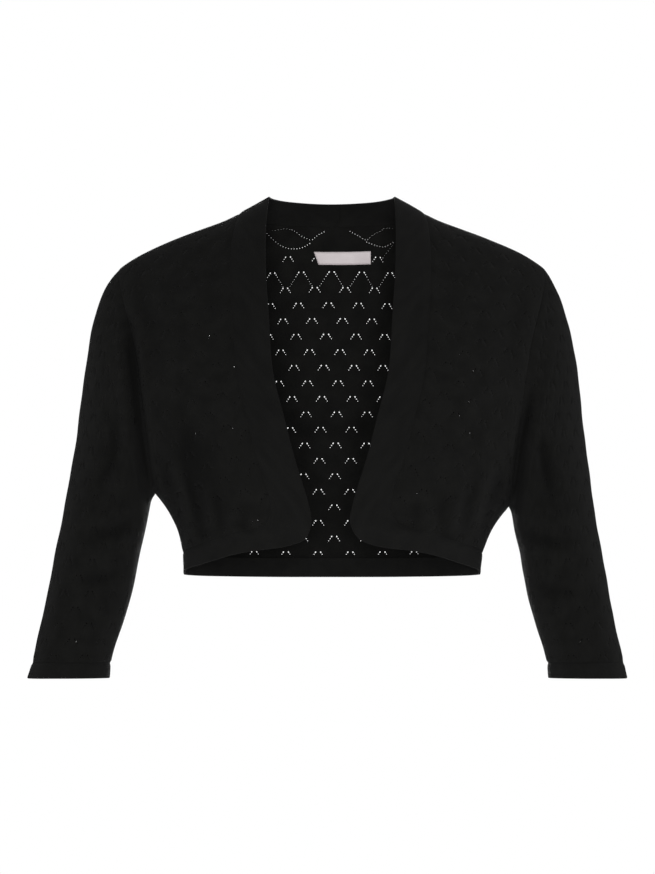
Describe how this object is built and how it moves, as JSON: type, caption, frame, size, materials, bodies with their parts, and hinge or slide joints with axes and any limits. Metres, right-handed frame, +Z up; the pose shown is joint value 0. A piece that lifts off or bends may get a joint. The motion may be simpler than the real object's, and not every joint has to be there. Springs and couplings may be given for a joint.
{
  "type": "knitted shrug",
  "caption": "Open-front cropped knitted shrug with three-quarter sleeves, plain bands and a hollow worn form.",
  "frame": {"origin": "between the two neck points, level with the inner ends of the shoulder seams, where the wearer's shoulders carry it", "axes": "+Z up, the front faces -Y, +X towards the wearer's left"},
  "size_m": [0.5985, 0.2324, 0.4841],
  "materials": {
    "black_knit": "matte fine-gauge black knit with small eyelets",
    "black_band_knit": "matte black plain knit band",
    "label_satin": "pale woven satin, blank"
  },
  "bodies": {
    "root": {"back": "black_knit", "front_right": "black_knit", "front_left": "black_knit", "sleeve_right": "black_knit", "sleeve_left": "black_knit", "cuff_right": "black_band_knit", "cuff_left": "black_band_knit", "band_right": "black_band_knit", "band_left": "black_band_knit", "hem_band_back": "black_band_knit", "label": "label_satin"}
  },
  "joints": []
}
